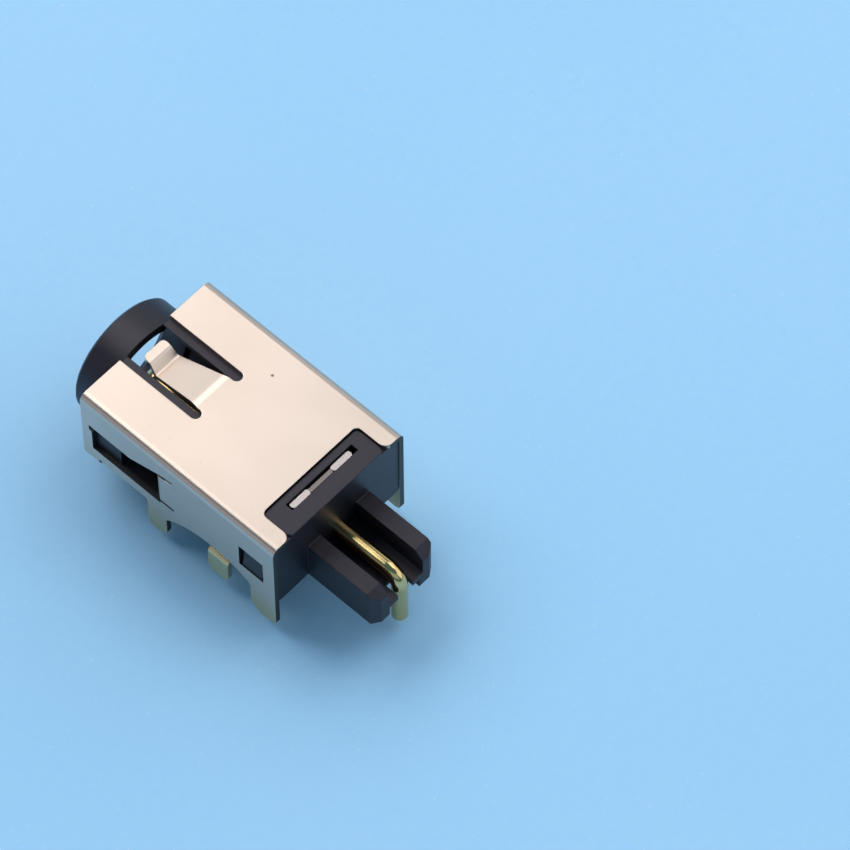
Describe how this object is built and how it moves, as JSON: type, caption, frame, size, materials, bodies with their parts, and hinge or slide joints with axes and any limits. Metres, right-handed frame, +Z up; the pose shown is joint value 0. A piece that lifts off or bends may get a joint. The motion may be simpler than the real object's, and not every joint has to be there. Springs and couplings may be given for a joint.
{
  "type": "dc barrel jack",
  "caption": "Shielded power jack sunk into a board cut-out: round plug mouth and centre pin, bent metal shell with a spring tongue, solder legs, and a forked tail that guides the pin down.",
  "frame": {"origin": "on the plug's axis, at the front edge of the metal shell", "axes": "+Z up from the board, +Y from the plug's mouth towards the tail, +X to the right when looking along +Y"},
  "size_m": [0.007, 0.0147, 0.006],
  "materials": {
    "black_moulding": "fine satin moulding",
    "plated_shell": "bright nickel plate, lightly rolled",
    "gold_pin": "gold plate, turned",
    "gold_spring": "thin gold plate over nickel, folded strip"
  },
  "bodies": {
    "root": {"housing": "black_moulding", "shell": "plated_shell", "centre_pin": "gold_pin", "sleeve_contact": "gold_spring"}
  },
  "joints": []
}
